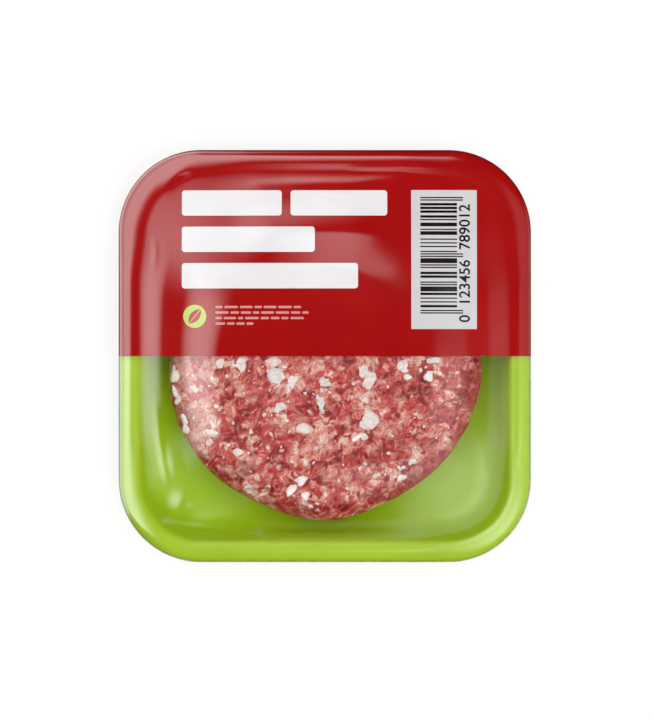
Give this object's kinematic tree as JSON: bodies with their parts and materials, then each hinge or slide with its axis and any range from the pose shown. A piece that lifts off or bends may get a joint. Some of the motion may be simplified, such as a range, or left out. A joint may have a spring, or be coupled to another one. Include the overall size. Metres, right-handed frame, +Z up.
{
  "type": "tray pack of raw minced cutlet",
  "caption": "Square plastic food tray holding a round raw minced cutlet, sealed in stretched film that is printed over its upper half.",
  "frame": {"origin": "middle of the pack's foot, on the surface it rests on", "axes": "+Z up through the pack's flat top; +Y towards the printed half, which is the top of the label; +X to the right when the label is read"},
  "size_m": [0.15, 0.15, 0.0232],
  "materials": {
    "tray": "moulded lime green, smooth satin",
    "cutlet": "raw minced meat with white fat crumbs, moist",
    "film": "thin stretched film, clear and glossy",
    "print": "red and white printing ink under gloss film"
  },
  "bodies": {
    "root": {"tray": "tray", "cutlet": "cutlet", "film": "film"}
  },
  "joints": []
}
